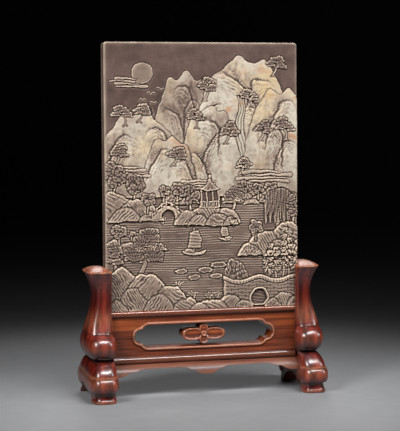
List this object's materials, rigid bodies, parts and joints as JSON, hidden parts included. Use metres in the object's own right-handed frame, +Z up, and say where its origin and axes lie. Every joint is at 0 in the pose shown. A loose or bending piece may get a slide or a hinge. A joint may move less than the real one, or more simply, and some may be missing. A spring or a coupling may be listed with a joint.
{
  "type": "table screen",
  "caption": "Carved stone slab that lifts out of a hardwood stand with vase-shaped posts, bridge feet, a pierced panel and shaped aprons.",
  "frame": {"origin": "on the table, under the middle of the slab", "axes": "+Z up, +X along the slab to the right seen from the carved face, +Y from the carved front to the plain back"},
  "size_m": [0.245, 0.098, 0.351],
  "materials": {
    "stone": "matt",
    "red_wood": "gloss",
    "brown_wood": "satin"
  },
  "bodies": {
    "stand": {"left_post": "red_wood", "right_post": "red_wood", "left_foot": "red_wood", "right_foot": "red_wood", "top_rail": "brown_wood", "bottom_rail": "brown_wood", "pierced_panel": "brown_wood", "flower_strut": "brown_wood", "front_apron": "brown_wood", "back_apron": "brown_wood"},
    "slab": {"stone_slab": "stone"}
  },
  "joints": [
    {"name": "slab_lift", "type": "slide", "parent": "stand", "child": "slab", "axis": [0, 0, 1], "range_m": [0, 0.055]}
  ]
}
